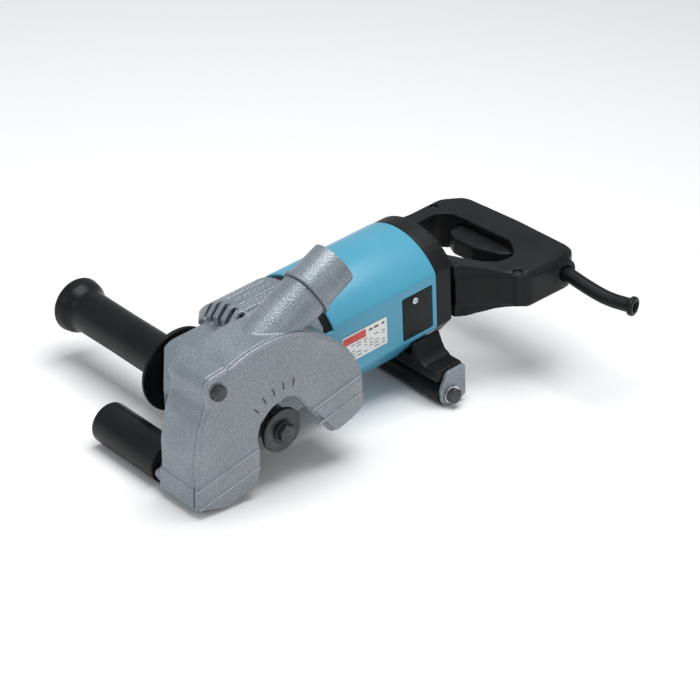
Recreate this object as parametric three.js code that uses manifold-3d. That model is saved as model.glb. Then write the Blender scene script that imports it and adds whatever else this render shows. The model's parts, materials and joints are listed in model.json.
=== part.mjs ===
// Wall chaser: motor, bevel gearbox, wheel guard with dust nozzle, rollers, side grip and D-handle.
// Millimetres, +X forward (cutting head), +Y to the operator's left (guard side), +Z up.
// Everything is drawn in the body frame, where the spindle axis (Y) crosses the motor axis (X) at the
// origin. The wheel guard and what it carries are drawn in the guard frame, turned about the spindle.
import * as THREE from 'three';
import { mergeVertices } from 'three/addons/utils/BufferGeometryUtils.js';
import Module from 'manifold-3d';

const wasm = await Module();
wasm.setup();

// ---- driving dimensions ----
const GAP = 0.3; // clearance between touching pieces
const BODY_PITCH = THREE.MathUtils.degToRad(8.7); // front of the machine dips on its rollers
const GUARD_TURN = THREE.MathUtils.degToRad(9); // guard's own turn about the spindle

const HOUSING_RADIUS = 61.5;
const HOUSING_HALF_WIDTH = 52;
const HOUSING_FRONT = -104;
const HOUSING_REAR = -230;
const HOUSING_WALL = 4;
const CHEEK_FRONT = -84; // the housing's near side laps over the gear housing as far as here

const GEAR_RADIUS = 62.5;
const GEAR_HALF_WIDTH = 50;
const GEAR_REAR = -94;
const SHOULDER = -25; // where the gear housing steps down to the gear case
const CASE_FRONT = 46;
const CASE_HALF_HEIGHT = 40;
const CASE_FAR = -32;
const CASE_NEAR = 44;

const SPINDLE_RADIUS = 8;
const FLANGE_RADIUS = 21;
const WHEEL_SIDE = 102; // near face of the outer flange
const COLLAR_RADIUS = 27;
const COLLAR_END = 61;

const GUARD_FAR = 55;
const GUARD_SPLIT = 100; // where the cover bolts on
const GUARD_NEAR = 106;
const GUARD_ARC = { u: 16.7, w: -11, r: 110 };
const GUARD_WALL = 6;
const SOLE = -33;
const RIB_LINE = 4.5; // top of the thicker shoe band
const NOZZLE_ANGLE = THREE.MathUtils.degToRad(16.5);
const NOZZLE = { u: -68, w: 95, y: 78, r: 21.5, bore: 19, length: 38.5 };

const ROLLER = { x: 80, z: -23, r: 19.5, far: -43, near: 43 };
const REAR_ROLLER = { x: -213, z: -75, r: 12.5, far: -61, near: 81 };

const GRIP_X = 4; // side grip axis, just ahead of the spindle
const DISC = { r: 41, from: -34, to: -40 };

const HANDLE_HALF = 18; // half thickness of the D-handle
const COVER_REAR = -257;
const MODULE = 2.6; // bevel gear pair
const GEAR_TEETH = 25;
const PINION_TEETH = 8;

// ---- materials ----
const material = (color, roughness, metalness) =>
  new THREE.MeshStandardMaterial({ color, roughness, metalness });
const paint = {
  blue: () => material(0x5fb3cc, 0.35, 0),
  black: () => material(0x1d1e21, 0.5, 0),
  rubber: () => material(0x17181a, 0.7, 0),
  casting: () => material(0x98a2aa, 0.5, 0.4),
  face: () => material(0xa6aeb6, 0.45, 0.4),
  steel: () => material(0xb9bdc1, 0.3, 1),
  darkSteel: () => material(0x45474a, 0.4, 0.9),
  copper: () => material(0xb06a3b, 0.4, 0.9),
  lamination: () => material(0x6b6e72, 0.5, 0.8),
  carbon: () => material(0x2a2a2c, 0.8, 0.1),
  label: () => material(0xe9e9e6, 0.4, 0),
};

// ---- solids ----
function solid(geometry) {
  const bare = geometry.clone();
  bare.deleteAttribute('normal');
  bare.deleteAttribute('uv');
  const merged = mergeVertices(bare, 1e-3);
  const points = merged.attributes.position.array;
  const index = merged.index.array;
  const triangles = [];
  for (let i = 0; i < index.length; i += 3) {
    const [a, b, c] = [index[i], index[i + 1], index[i + 2]];
    if (a !== b && b !== c && c !== a) triangles.push(a, b, c);
  }
  if (signedVolume(points, triangles) < 0) triangles.reverse();
  return new wasm.Manifold(new wasm.Mesh({
    numProp: 3, vertProperties: new Float32Array(points), triVerts: new Uint32Array(triangles),
  }));
}

function signedVolume(points, triangles) {
  const corner = (i) => new THREE.Vector3().fromArray(points, 3 * i);
  let volume = 0;
  for (let i = 0; i < triangles.length; i += 3) {
    const [a, b, c] = [corner(triangles[i]), corner(triangles[i + 1]), corner(triangles[i + 2])];
    volume += a.dot(b.cross(c));
  }
  return volume;
}

function toGeometry(manifold) {
  const mesh = manifold.getMesh();
  const geometry = new THREE.BufferGeometry();
  geometry.setAttribute('position', new THREE.BufferAttribute(new Float32Array(mesh.vertProperties), 3));
  geometry.setIndex(Array.from(mesh.triVerts));
  geometry.computeVertexNormals();
  return geometry;
}

const join = (...parts) => parts.reduce((a, b) => a.add(b));
const cut = (part, ...tools) => tools.reduce((a, b) => a.subtract(b), part);

// Places a plan point (a, b) at depth c: 'xy' rises along Z, 'xz' runs along Y, 'yz' runs along X.
const PLANES = {
  xy: (a, b, c) => [a, b, c],
  xz: (a, b, c) => [a, c, b],
  yz: (a, b, c) => [c, a, b],
};

// A solid from stacked rings of equal count; each ring is { outline, at }.
function stack(rings, plane) {
  const place = PLANES[plane];
  const count = rings[0].outline.length;
  const points = rings.flatMap(({ outline, at }) => outline.flatMap(([a, b]) => place(a, b, at)));
  const triangles = [];
  for (let ring = 0; ring + 1 < rings.length; ring++) {
    for (let i = 0; i < count; i++) {
      const [a, b] = [ring * count + i, ring * count + ((i + 1) % count)];
      triangles.push(a, b, b + count, a, b + count, a + count);
    }
  }
  const cap = (ring, flip) => {
    const flat = rings[ring].outline.map(([a, b]) => new THREE.Vector2(a, b));
    for (const [a, b, c] of THREE.ShapeUtils.triangulateShape(flat, [])) {
      const corners = flip ? [c, b, a] : [a, b, c];
      triangles.push(...corners.map((i) => i + ring * count));
    }
  };
  cap(0, true);
  cap(rings.length - 1, false);
  const geometry = new THREE.BufferGeometry();
  geometry.setAttribute('position', new THREE.Float32BufferAttribute(points, 3));
  geometry.setIndex(triangles);
  return solid(geometry);
}

// An outline extruded from one depth to another, with a chamfer at each end if asked.
function prism(outline, from, to, plane, chamferFrom = 0, chamferTo = 0) {
  const ring = THREE.ShapeUtils.area(outline.map(([a, b]) => new THREE.Vector2(a, b))) < 0
    ? [...outline].reverse() : outline;
  const rings = [];
  if (chamferFrom) rings.push({ outline: inset(ring, chamferFrom), at: from });
  rings.push({ outline: ring, at: from + chamferFrom });
  rings.push({ outline: ring, at: to - chamferTo });
  if (chamferTo) rings.push({ outline: inset(ring, chamferTo), at: to });
  return stack(rings, plane);
}

// Moves every edge of a counter-clockwise outline inwards by a distance.
function inset(outline, distance) {
  const count = outline.length;
  const vector = ([a, b]) => new THREE.Vector2(a, b);
  const normal = (from, to) => {
    const edge = vector(to).sub(vector(from)).normalize();
    return new THREE.Vector2(-edge.y, edge.x);
  };
  return outline.map((point, i) => {
    const before = normal(outline[(i + count - 1) % count], point);
    const after = normal(point, outline[(i + 1) % count]);
    const middle = before.clone().add(after).normalize();
    const reach = distance / Math.max(0.5, middle.dot(after));
    return vector(point).addScaledVector(middle, reach).toArray();
  });
}

// Corners [a, b, radius, steps] joined by straight lines, with the corners rounded.
function rounded(corners) {
  return corners.flatMap(([a, b, radius = 0, steps = 3], i) => {
    if (!radius) return [[a, b]];
    const corner = new THREE.Vector2(a, b);
    const [pa, pb] = corners[(i + corners.length - 1) % corners.length];
    const [na, nb] = corners[(i + 1) % corners.length];
    const back = new THREE.Vector2(pa, pb).sub(corner).normalize();
    const ahead = new THREE.Vector2(na, nb).sub(corner).normalize();
    const half = Math.acos(THREE.MathUtils.clamp(back.dot(ahead), -1, 1)) / 2;
    const start = corner.clone().addScaledVector(back, radius / Math.tan(half));
    const end = corner.clone().addScaledVector(ahead, radius / Math.tan(half));
    const centre = corner.clone().addScaledVector(back.add(ahead).normalize(), radius / Math.sin(half));
    const from = start.sub(centre).angle();
    let sweep = end.sub(centre).angle() - from;
    if (sweep > Math.PI) sweep -= 2 * Math.PI;
    if (sweep < -Math.PI) sweep += 2 * Math.PI;
    return arc(centre.x, centre.y, radius, from, from + sweep, steps);
  });
}

function arc(a, b, radius, from, to, steps) {
  return Array.from({ length: steps + 1 }, (_, i) => {
    const angle = from + ((to - from) * i) / steps;
    return [a + radius * Math.cos(angle), b + radius * Math.sin(angle)];
  });
}

const circle = (a, b, radius, steps = 20) =>
  arc(a, b, radius, 0, 2 * Math.PI, steps).slice(0, -1);
const hexagon = (a, b, across) => circle(a, b, across / Math.sqrt(3), 6);

const rectangle = (a0, a1, b0, b1, radius = 0, steps = 3) =>
  rounded([[a0, b0], [a1, b0], [a1, b1], [a0, b1]].map(([a, b]) => [a, b, radius, steps]));

const box = (x0, x1, y0, y1, z0, z1) => prism(rectangle(x0, x1, y0, y1), z0, z1, 'xy');

// A turned piece: profile [radius, position along the axis] from one end to the other.
function turned(profile, plane, a = 0, b = 0, steps = 24) {
  const geometry = new THREE.LatheGeometry(profile.map(([r, at]) => new THREE.Vector2(r, at)), steps);
  const place = PLANES[plane];
  const position = geometry.attributes.position;
  for (let i = 0; i < position.count; i++) {
    const moved = place(position.getX(i) + a, position.getZ(i) + b, position.getY(i));
    position.setXYZ(i, ...moved);
  }
  return solid(geometry);
}

// A plain ring or, with no bore, a disc.
function ring(outer, bore, from, to, plane, a = 0, b = 0, steps = 24) {
  const body = prism(circle(a, b, outer, steps), from, to, plane);
  return bore ? cut(body, prism(circle(a, b, bore, steps), from - 1, to + 1, plane)) : body;
}

// ---- assembly ----
const body = new THREE.Group();
const guard = new THREE.Group();
guard.rotation.y = GUARD_TURN;
body.add(guard);

function add(name, part, look, group = body) {
  const mesh = new THREE.Mesh(toGeometry(part), look());
  mesh.name = name;
  group.add(mesh);
}

// Round section with flat sides, shared by the motor housing and its neighbours.
function barrelOutline(radius, halfWidth) {
  const side = Math.acos(halfWidth / radius);
  const depth = HOUSING_HALF_WIDTH - halfWidth;
  const bottom = 56 - depth;
  const slopeTop = 24.5 - 0.35 * depth;
  const slopeFoot = 26.8 - 0.78 * depth;
  return [
    ...arc(0, 0, radius, side, Math.PI - side, 18),
    [-halfWidth, -slopeTop], [-slopeFoot, -bottom], [slopeFoot, -bottom], [halfWidth, -slopeTop],
  ];
}

// ---- motor housing and its covers ----
const BRUSH = { x: -207, coverFrom: -223.5, coverTo: -187.5, coverLow: -20.5, coverHigh: 23.5 };
const STATOR = { from: -190, to: -128, r: 49.7 };

function cheek(clearance) {
  return box(HOUSING_FRONT - 1, CHEEK_FRONT + clearance, 48.3 - clearance, 52 + clearance,
    -23 - clearance, 30 + clearance);
}

function motorHousing() {
  const outer = prism(barrelOutline(HOUSING_RADIUS, HOUSING_HALF_WIDTH), HOUSING_REAR, HOUSING_FRONT, 'yz');
  const bore = barrelOutline(HOUSING_RADIUS - HOUSING_WALL, HOUSING_HALF_WIDTH - HOUSING_WALL);
  let shell = cut(outer, prism(bore, HOUSING_REAR - 1, HOUSING_FRONT + 1, 'yz'));
  for (const side of [45, 135, 225, 315]) {
    const angle = THREE.MathUtils.degToRad(side);
    const start = STATOR.r + (side > 180 ? 0.9 : GAP);
    const rib = box(STATOR.from, STATOR.to, start, HOUSING_RADIUS - 2, -3, 3);
    shell = join(shell, rib.rotate([THREE.MathUtils.radToDeg(angle), 0, 0]).intersect(outer));
  }
  shell = join(shell, cheek(0));
  const { coverFrom, coverTo, coverLow, coverHigh } = BRUSH;
  const window = rectangle(coverFrom - GAP, coverTo + GAP, coverLow - GAP, coverHigh + GAP);
  return cut(shell, prism(window, -60, 60, 'xz'));
}

function brushCover(side) {
  const plate = rectangle(BRUSH.coverFrom, BRUSH.coverTo, BRUSH.coverLow, BRUSH.coverHigh, 1.5, 2);
  const [from, to] = side > 0 ? [48.2, 52] : [-52, -48.2];
  const hole = prism(circle(-202, 17.5, 2, 12), -60, 60, 'xz');
  return cut(prism(plate, from, to, 'xz', side < 0 ? 0.6 : 0, side > 0 ? 0.6 : 0), hole);
}

function coverScrew(side) {
  const head = prism(circle(-202, 17.5, 3.4, 16), 52 + GAP, 53.6, 'xz', 0, 0.5);
  const shank = prism(circle(-202, 17.5, 1.7, 12), 45, 52 + GAP, 'xz');
  const slot = box(-206, -198, 53.1, 54, 17, 18);
  const screw = cut(join(head, shank), slot);
  return side > 0 ? screw : screw.mirror([0, 1, 0]);
}

function brushHolder(side) {
  const block = box(BRUSH.x - 8, BRUSH.x + 8, 20, 44, -7, 7);
  const channel = box(BRUSH.x - 4.5, BRUSH.x + 4.5, 18, 46, -3.5, 3.5);
  const holder = cut(block, channel);
  return side > 0 ? holder : holder.mirror([0, 1, 0]);
}

function carbonBrush(side) {
  const brush = box(BRUSH.x - 4, BRUSH.x + 4, 15.6, 36, -3, 3);
  return side > 0 ? brush : brush.mirror([0, 1, 0]);
}

function rearEndCover() {
  const section = barrelOutline(HOUSING_RADIUS - 0.5, HOUSING_HALF_WIDTH - 0.5);
  const front = HOUSING_REAR - GAP;
  const shell = prism(section, COVER_REAR, front, 'yz', 9, 0);
  const inner = barrelOutline(HOUSING_RADIUS - 5, HOUSING_HALF_WIDTH - 5);
  const hollow = prism(inner, COVER_REAR + 5, front + 1, 'yz', 7, 0);
  const boss = ring(14.5, 0, COVER_REAR + 4, COVER_REAR + 14, 'yz');
  const seat = ring(11 + GAP, 0, COVER_REAR + 5, COVER_REAR + 16, 'yz');
  const wire = ring(12, 0, COVER_REAR - 1, COVER_REAR + 6, 'yz', 38, -4, 16);
  let cover = cut(join(cut(shell, hollow), boss), seat, wire);
  for (let i = 0; i < 15; i++) {
    const slot = box(COVER_REAR - 1, COVER_REAR + 9, -1.7, 1.7, HOUSING_RADIUS - 8, HOUSING_RADIUS + 2);
    cover = cut(cover, slot.rotate([-49 + 7 * i, 0, 0]));
  }
  return cover;
}

add('motor_housing', motorHousing(), paint.blue);
for (const [side, label] of [[1, 'near'], [-1, 'far']]) {
  add(`brush_cover_${label}`, brushCover(side), paint.black);
  add(`brush_cover_screw_${label}`, coverScrew(side), paint.steel);
  add(`brush_holder_${label}`, brushHolder(side), paint.copper);
  add(`carbon_brush_${label}`, carbonBrush(side), paint.carbon);
}
add('rear_end_cover', rearEndCover(), paint.black);
add('name_plate', prism(rectangle(-167, -112, -12, 17, 1, 2), 52 + GAP, 53, 'xz'), paint.label);

// ---- motor ----
function armatureShaft() {
  return turned([
    [0, -251], [3.9, -251], [3.9, -240], [6, -240], [6, -96], [7.2, -96], [7.2, -80], [4.7, -80],
    [4.7, -22], [0, -22],
  ], 'yz', 0, 0, 20);
}

function armatureCore() {
  const core = prism(circle(0, 0, 26, 24), STATOR.from, STATOR.to, 'yz');
  let slotted = core;
  for (let i = 0; i < 12; i++) {
    const slot = box(STATOR.from - 1, STATOR.to + 1, -1.5, 1.5, 21, 28);
    slotted = cut(slotted, slot.rotate([30 * i, 0, 0]));
  }
  const winding = prism(circle(0, 0, 16.5, 24), STATOR.from - 9, STATOR.to + 8, 'yz', 3, 3);
  return cut(join(slotted, winding), ring(6 + GAP, 0, STATOR.from - 20, STATOR.to + 20, 'yz', 0, 0, 20));
}

function coolingFan() {
  const [back, front] = [-117, -106];
  let fan = join(ring(44, 0, back, back + 2.5, 'yz'), ring(12, 0, back, front, 'yz'));
  for (let i = 0; i < 12; i++) {
    const blade = box(back + 1, front, -1, 1, 10, 43);
    fan = join(fan, blade.rotate([30 * i, 0, 0]));
  }
  return cut(fan, ring(6 + GAP, 0, back - 1, front + 1, 'yz', 0, 0, 20));
}

function fieldStator() {
  const outer = prism(barrelOutline(STATOR.r, 46), STATOR.from, STATOR.to, 'yz');
  const bore = ring(27.5, 0, STATOR.from - 1, STATOR.to + 1, 'yz', 0, 0, 28);
  const slots = [1, -1].flatMap((y) => [1, -1].map((z) => {
    const slot = box(STATOR.from - 1, STATOR.to + 1, 20, 33, 16, 30);
    const beside = y > 0 ? slot : slot.mirror([0, 1, 0]);
    return z > 0 ? beside : beside.mirror([0, 0, 1]);
  }));
  return cut(outer, bore, ...slots);
}

function fieldCoil(side) {
  const loop = prism(rectangle(STATOR.from - 9, STATOR.to + 8, -32, 32, 8), 18, 28, 'xy');
  const eye = prism(rectangle(STATOR.from - 2, STATOR.to + 1.5, -24, 24, 3), 17, 29, 'xy');
  const coil = cut(loop, eye);
  return side > 0 ? coil : coil.mirror([0, 0, 1]);
}

add('armature_shaft', armatureShaft(), paint.steel);
add('armature_core', armatureCore(), paint.lamination);
add('commutator', ring(15, 6 + GAP, -217, -199.6, 'yz', 0, 0, 24), paint.copper);
add('cooling_fan', coolingFan(), paint.black);
add('field_stator', fieldStator(), paint.lamination);
add('field_coil_upper', fieldCoil(1), paint.copper);
add('field_coil_lower', fieldCoil(-1), paint.copper);
add('motor_bearing_rear', ring(11, 4.2, -251, -242, 'yz', 0, 0, 24), paint.steel);
add('motor_bearing_front', ring(16, 7.5, -92, -82, 'yz', 0, 0, 24), paint.steel);

// ---- gear housing ----
function baffleRing() {
  const outer = prism(barrelOutline(HOUSING_RADIUS - 2.5, HOUSING_HALF_WIDTH - 2),
    HOUSING_FRONT + GAP, GEAR_REAR - GAP, 'yz');
  return cut(outer, ring(36, 0, HOUSING_FRONT - 1, GEAR_REAR + 1, 'yz'), cheek(GAP));
}

function gearHousing() {
  const barrel = prism(barrelOutline(GEAR_RADIUS, GEAR_HALF_WIDTH), GEAR_REAR, SHOULDER, 'yz', 0, 9);
  const caseOutline = rounded([
    [SHOULDER - 12, -CASE_HALF_HEIGHT], [20, -CASE_HALF_HEIGHT, 24, 6], [CASE_FRONT, -14, 14],
    [CASE_FRONT, 14, 14], [20, CASE_HALF_HEIGHT, 24, 6], [SHOULDER - 12, CASE_HALF_HEIGHT],
  ]);
  const gearCase = prism(caseOutline, CASE_FAR, CASE_NEAR, 'xz', 4, 0);
  const boss = ring(18, 0, DISC.from + GAP, CASE_FAR + 2, 'xz', GRIP_X, 0, 24);
  const inner = barrelOutline(GEAR_RADIUS - 4, GEAR_HALF_WIDTH - 4);
  const room = prism(inner, GEAR_REAR + 14, SHOULDER - 10, 'yz');
  const entry = ring(34, 0, GEAR_REAR - 1, GEAR_REAR + 4, 'yz');
  const seat = ring(16 + GAP, 0, GEAR_REAR - 1, GEAR_REAR + 15, 'yz', 0, 0, 24);
  const gearRoom = prism(circle(0, 0, 37, 36), -6, CASE_NEAR + 1, 'xz');
  const farRoom = ring(18, 0, CASE_FAR + 5, 0, 'xz', 0, 0, 24);
  const slope = prism([[19, CASE_FAR - 1], [46.5, -3], [60, -3], [60, CASE_FAR - 1]], -60, 60, 'xy');
  const passage = ring(20, 0, SHOULDER - 12, SHOULDER + 10, 'yz');
  const pocket = ring(9 + GAP, 0, CASE_FAR + 2.5, CASE_FAR + 7, 'xz', 0, 0, 24);
  const outside = join(barrel, cut(gearCase, slope), boss);
  let casting = cut(outside, room, entry, seat, gearRoom, farRoom, passage, pocket, cheek(GAP));
  for (let i = 0; i < 5; i++) {
    const y = -31 + 10.5 * i;
    const groove = box(GEAR_REAR + 7, SHOULDER - 16, y - 1.3, y + 1.3, 36, 70);
    const floor = prism(barrelOutline(GEAR_RADIUS - 2, GEAR_HALF_WIDTH - 1), GEAR_REAR, SHOULDER, 'yz');
    casting = cut(casting, cut(groove, floor), box(SHOULDER - 13, SHOULDER + 1, y - 2.2, y + 2.2, 41, 70));
  }
  const flangeSeat = prism(circle(0, 0, 39 + GAP, 40), CASE_NEAR, 60, 'xz');
  const discRoom = prism(circle(GRIP_X, 0, DISC.r + 2, 40), -60, DISC.from + GAP, 'xz');
  const stud = prism(circle(GRIP_X, 0, 6 + GAP, 16), CASE_FAR - 3, CASE_FAR + 2, 'xz');
  const lock = prism(circle(14, -8, 4 + GAP, 16), -60, -30, 'xy');
  return cut(casting, flangeSeat, discRoom, stud, lock);
}

function bearingBox() {
  return turned([
    [10, CASE_NEAR + 12], [14 + GAP, CASE_NEAR + 12], [14 + GAP, CASE_NEAR + GAP], [39, CASE_NEAR + GAP],
    [39, CASE_NEAR + 6], [COLLAR_RADIUS, CASE_NEAR + 6], [COLLAR_RADIUS, COLLAR_END], [10, COLLAR_END],
    [10, CASE_NEAR + 12],
  ], 'xz', 0, 0, 28);
}

// Straight bevel teeth: rings of rays from the apex, at the outer and the inner end of the tooth.
function bevelTeeth(teeth, mate, plane, direction, firstTooth) {
  const [radius, mateRadius] = [(MODULE * teeth) / 2, (MODULE * mate) / 2];
  const reach = Math.hypot(radius, mateRadius);
  const pitchAngle = Math.atan2(radius, mateRadius);
  const [tip, root] = [pitchAngle + (0.75 * MODULE) / reach, pitchAngle - (1.15 * MODULE) / reach];
  const ringAt = (distance) => Array.from({ length: teeth * 4 }, (_, i) => {
    const tooth = Math.floor(i / 4);
    const corner = [-0.27, -0.11, 0.11, 0.27][i % 4];
    const cone = i % 4 === 1 || i % 4 === 2 ? tip : root;
    const turn = firstTooth + ((tooth + corner) * 2 * Math.PI) / teeth;
    const across = distance * Math.sin(cone);
    return [across * Math.cos(turn), across * Math.sin(turn), direction * distance * Math.cos(cone)];
  });
  const rims = [ringAt(reach), ringAt(reach * 0.72)];
  const ends = [direction * (mateRadius + 3), direction * mateRadius * 0.6];
  const count = teeth * 4;
  const place = PLANES[plane];
  const points = [...rims.flat(), [0, 0, ends[0]], [0, 0, ends[1]]].flatMap((p) => place(...p));
  const triangles = [];
  for (let i = 0; i < count; i++) {
    const next = (i + 1) % count;
    triangles.push(i, next, count + next, i, count + next, count + i);
    triangles.push(next, i, 2 * count, count + i, count + next, 2 * count + 1);
  }
  const geometry = new THREE.BufferGeometry();
  geometry.setAttribute('position', new THREE.Float32BufferAttribute(points, 3));
  geometry.setIndex(triangles);
  return solid(geometry);
}

function bevelGear() {
  const teeth = bevelTeeth(GEAR_TEETH, PINION_TEETH, 'xz', 1, Math.PI + Math.PI / GEAR_TEETH);
  const hub = ring(18, 0, 8, 24, 'xz', 0, 0, 24);
  return cut(join(teeth, hub), ring(SPINDLE_RADIUS + GAP, 0, -10, 40, 'xz', 0, 0, 24));
}

function bevelPinion() {
  const teeth = bevelTeeth(PINION_TEETH, GEAR_TEETH, 'yz', -1, 0);
  const hub = ring(7.5, 0, -44, -29, 'yz', 0, 0, 20);
  return cut(join(teeth, hub), ring(4.7 + GAP, 0, -60, 0, 'yz', 0, 0, 20));
}

add('baffle_ring', baffleRing(), paint.black);
add('gear_housing', gearHousing(), paint.casting);
add('bearing_box', bearingBox(), paint.casting);
add('bevel_gear', bevelGear(), paint.darkSteel);
add('bevel_pinion', bevelPinion(), paint.darkSteel);
add('spindle_bearing_outer', ring(14, SPINDLE_RADIUS + GAP, 45, 55, 'xz', 0, 0, 24), paint.steel);
add('spindle_bearing_inner', ring(9, 5.7, CASE_FAR + 2.8, CASE_FAR + 6.8, 'xz', 0, 0, 24), paint.steel);
add('shaft_lock_button', join(prism(circle(14, -8, 4, 16), -43, -38, 'xy'),
  prism(circle(14, -8, 6.5, 20), -47, -42.5, 'xy', 1, 0)), paint.black);

// ---- spindle and flange stack ----
function spindle() {
  const shaft = turned([
    [0, CASE_FAR + 3.2], [5.4, CASE_FAR + 3.2], [5.4, CASE_FAR + 9], [SPINDLE_RADIUS, CASE_FAR + 9],
    [SPINDLE_RADIUS, WHEEL_SIDE - 2], [0, WHEEL_SIDE - 2],
  ], 'xz', 0, 0, 24);
  return cut(shaft, prism(circle(0, 0, 4.3, 16), WHEEL_SIDE - 20, WHEEL_SIDE, 'xz'));
}

function outerFlange() {
  const disc = turned([
    [0, WHEEL_SIDE - 1.6], [16, WHEEL_SIDE - 1.6], [16, WHEEL_SIDE - 4], [FLANGE_RADIUS, WHEEL_SIDE - 4],
    [FLANGE_RADIUS, WHEEL_SIDE - 0.8], [FLANGE_RADIUS - 0.8, WHEEL_SIDE], [11, WHEEL_SIDE],
    [11, WHEEL_SIDE - 0.6], [0, WHEEL_SIDE - 0.6],
  ], 'xz');
  return cut(disc, prism(circle(0, 0, 4.3, 16), 90, 120, 'xz'));
}

function flangeBolt() {
  const shank = prism(circle(0, 0, 4, 16), WHEEL_SIDE - 16, WHEEL_SIDE + 1, 'xz');
  const head = prism(hexagon(0, 0, 15), WHEEL_SIDE + 1.5, WHEEL_SIDE + 7, 'xz', 0, 0.6);
  const collar = prism(circle(0, 0, 9.5, 24), WHEEL_SIDE - 0.6 + GAP, WHEEL_SIDE + 2, 'xz');
  return join(shank, head, collar);
}

const RING_BORE = SPINDLE_RADIUS + GAP;
add('spindle', spindle(), paint.steel);
add('inner_flange', ring(FLANGE_RADIUS, RING_BORE, 63, 69, 'xz', 0, 0, 32), paint.darkSteel);
for (let i = 0; i < 3; i++) {
  const from = 69 + GAP + i * 9.5;
  add(`spacer_ring_${i + 1}`, ring(17, RING_BORE, from, from + 9.2, 'xz', 0, 0, 32), paint.steel);
}
add('outer_flange', outerFlange(), paint.darkSteel);
add('flange_bolt', flangeBolt(), paint.darkSteel);

// ---- wheel guard, in the guard frame ----
// Outline in the plane of the wheel: round over the top, a lug at the front and a flat sole. The
// cover's outline also bends up around the flanges.
const NOTCH = [
  [-48, SOLE - 4, 7], [-25.5, 12, 6], [-19, 26, 7], [-8, 32.5, 10], [8, 31.5, 12], [21, 24, 8],
  [27, 13, 8], [28, -4, 10], [39, SOLE, 7],
];

function guardOutline(notch = []) {
  const { u, w, r } = GUARD_ARC;
  return rounded([
    [-94, -27, 5], [-73, SOLE - 2, 30, 2], ...notch, [77, SOLE, 16], [104, -17, 4], [98, 5, 20, 2],
    [92, 33, 30, 2], [80, 60, 14, 3], [69, 76, 8, 3], [68, 95, 4], [60, 100.5, 4], [40, 99],
  ]).concat(arc(u, w, r, THREE.MathUtils.degToRad(78), THREE.MathUtils.degToRad(173), 30));
}

function guardRoom() {
  const { u, w, r } = GUARD_ARC;
  return [[91, -60], [92, 0], [86, 30], [66, 64], [50, 80]]
    .concat(arc(u, w, r - GUARD_WALL, THREE.MathUtils.degToRad(70), THREE.MathUtils.degToRad(175), 24))
    .concat([[-87, -60]]);
}

// A cylinder along the nozzle's axis, between two distances from the nozzle's foot.
function alongNozzle(radius, from, to, steps = 32) {
  const tube = prism(circle(0, 0, radius, steps), from, to, 'yz');
  const turn = 180 + THREE.MathUtils.radToDeg(NOZZLE_ANGLE);
  return tube.rotate([0, turn, 0]).translate([NOZZLE.u, NOZZLE.y, NOZZLE.w]);
}

const AXLE = (() => {
  const [c, s] = [Math.cos(GUARD_TURN), Math.sin(GUARD_TURN)];
  return { u: ROLLER.x * c - ROLLER.z * s, w: ROLLER.x * s + ROLLER.z * c };
})();
const COVER_BOLT = { u: 57, w: 87 };

function guardBody() {
  const channel = prism(guardOutline(), GUARD_FAR, GUARD_SPLIT, 'xz', 2, 0);
  const duct = alongNozzle(22, -66, 0);
  const toe = [[60, SOLE], [77, SOLE, 16], [105.5, -16, 4], [100, RIB_LINE], [60, RIB_LINE]];
  const shoe = prism(rounded(toe), GUARD_FAR + 1, GUARD_SPLIT, 'xz');
  const lugOutline = rounded([[64, -4, 4], [66, -24, 9], [97, -24, 9], [103, -4, 4]]);
  const lug = prism(lugOutline, ROLLER.near + 2, GUARD_FAR + 3, 'xz', 2, 0);
  const room = prism(guardRoom(), GUARD_FAR + 4.5, GUARD_SPLIT + 1, 'xz');
  const bore = alongNozzle(NOZZLE.bore, -48, 1);
  const hub = prism(circle(0, 0, COLLAR_RADIUS + 6), GUARD_FAR - 2, GUARD_FAR + 4.5, 'xz');
  const collar = prism(circle(0, 0, COLLAR_RADIUS + GAP, 40), GUARD_FAR - 5, GUARD_FAR + 10, 'xz');
  const axleHole = prism(circle(AXLE.u, AXLE.w, 5 + GAP, 16), ROLLER.near, GUARD_FAR + 10, 'xz');
  const { u, w } = COVER_BOLT;
  const boltHole = prism(circle(u, w, 4 + GAP, 16), GUARD_SPLIT - 24, GUARD_SPLIT + 1, 'xz');
  const boltBoss = prism(circle(u - 1, w - 1, 10, 20), GUARD_FAR + 3, GUARD_SPLIT, 'xz');
  const casting = join(cut(join(channel, duct, shoe, lug), room), hub, boltBoss);
  return cut(casting, bore, collar, axleHole, boltHole);
}

function guardCover() {
  const outline = guardOutline(NOTCH);
  const plate = prism(outline, GUARD_SPLIT + GAP, GUARD_NEAR, 'xz', 0, 3);
  const below = (line, rise) => prism(inset(outline, 3.2), GUARD_NEAR - 1, GUARD_NEAR + rise, 'xz')
    .intersect(box(-120, 120, 90, 120, -60, line));
  const boltHole = prism(circle(COVER_BOLT.u, COVER_BOLT.w, 4 + GAP, 16), 90, 120, 'xz');
  let cover = cut(join(plate, below(RIB_LINE, 1.2), below(RIB_LINE - 17.5, 2)), boltHole);
  for (let i = 0; i < 5; i++) {
    const tick = box(-0.8, 0.8, GUARD_NEAR - 1, GUARD_NEAR + 0.8, 45, 52);
    cover = join(cover, tick.rotate([0, 30 - 13 * i, 0]));
  }
  return cover;
}

function dustNozzle() {
  const tube = join(alongNozzle(NOZZLE.r, GAP, NOZZLE.length), alongNozzle(25, GAP, 4));
  return cut(tube, alongNozzle(NOZZLE.bore, -5, NOZZLE.length + 5));
}

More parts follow.
